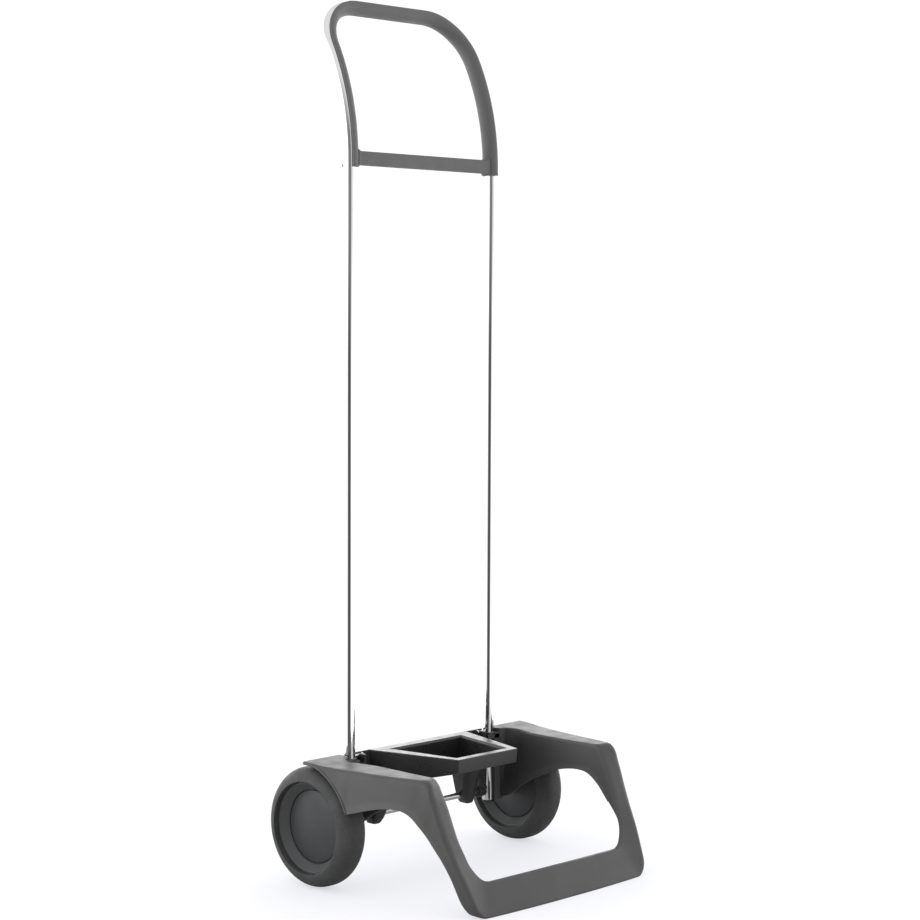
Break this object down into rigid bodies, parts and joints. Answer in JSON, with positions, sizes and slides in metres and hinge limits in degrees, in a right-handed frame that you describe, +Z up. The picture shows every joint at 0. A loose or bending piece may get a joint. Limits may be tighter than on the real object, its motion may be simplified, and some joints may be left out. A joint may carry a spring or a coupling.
{
  "type": "two-wheel shopping trolley frame",
  "caption": "Two-wheel hand trolley frame: bent steel loop with a moulded grip, chassis with a foot ring, bag shelf and free-running wheels on a through axle.",
  "frame": {"origin": "on the floor, at the middle of the trolley's width and of its depth from foot bar to tyre", "axes": "+X across the trolley, +Y from the foot bar to the back, +Z up"},
  "size_m": [0.375, 0.313, 1.032],
  "materials": {
    "chrome_tube": "polished chrome plate on steel tube",
    "bright_steel": "zinc-plated, satin",
    "grip_plastic": "fine-textured matt grey moulding",
    "chassis_plastic": "fine-textured matt grey moulding",
    "shelf_plastic": "satin near-black moulding",
    "tyre_rubber": "smooth soft rubber",
    "rim_plastic": "matt dark grey moulding",
    "disc_plastic": "matt blue-grey moulding",
    "black_plastic": "matt black moulding",
    "bush_plastic": "natural nylon"
  },
  "bodies": {
    "frame": {"tube_frame": "chrome_tube", "tube_end_plugs": "black_plastic", "handle_grip": "grip_plastic", "chassis": "chassis_plastic", "bag_shelf": "shelf_plastic", "shelf_screws": "bright_steel", "axle": "bright_steel", "wheel_spacers": "black_plastic", "thrust_washers": "bright_steel", "push_nuts": "bright_steel"},
    "left_wheel": {"left_tyre": "tyre_rubber", "left_rim": "rim_plastic", "left_outer_disc": "disc_plastic", "left_inner_disc": "disc_plastic", "left_outer_bush": "bush_plastic", "left_inner_bush": "bush_plastic"},
    "right_wheel": {"right_tyre": "tyre_rubber", "right_rim": "rim_plastic", "right_outer_disc": "disc_plastic", "right_inner_disc": "disc_plastic", "right_outer_bush": "bush_plastic", "right_inner_bush": "bush_plastic"}
  },
  "joints": [
    {"name": "left_wheel_spin", "type": "hinge", "parent": "frame", "child": "left_wheel", "pos_m": [-0.1675, 0.0865, 0.07], "axis": [1, 0, 0], "continuous": true},
    {"name": "right_wheel_spin", "type": "hinge", "parent": "frame", "child": "right_wheel", "pos_m": [0.1675, 0.0865, 0.07], "axis": [1, 0, 0], "continuous": true}
  ]
}
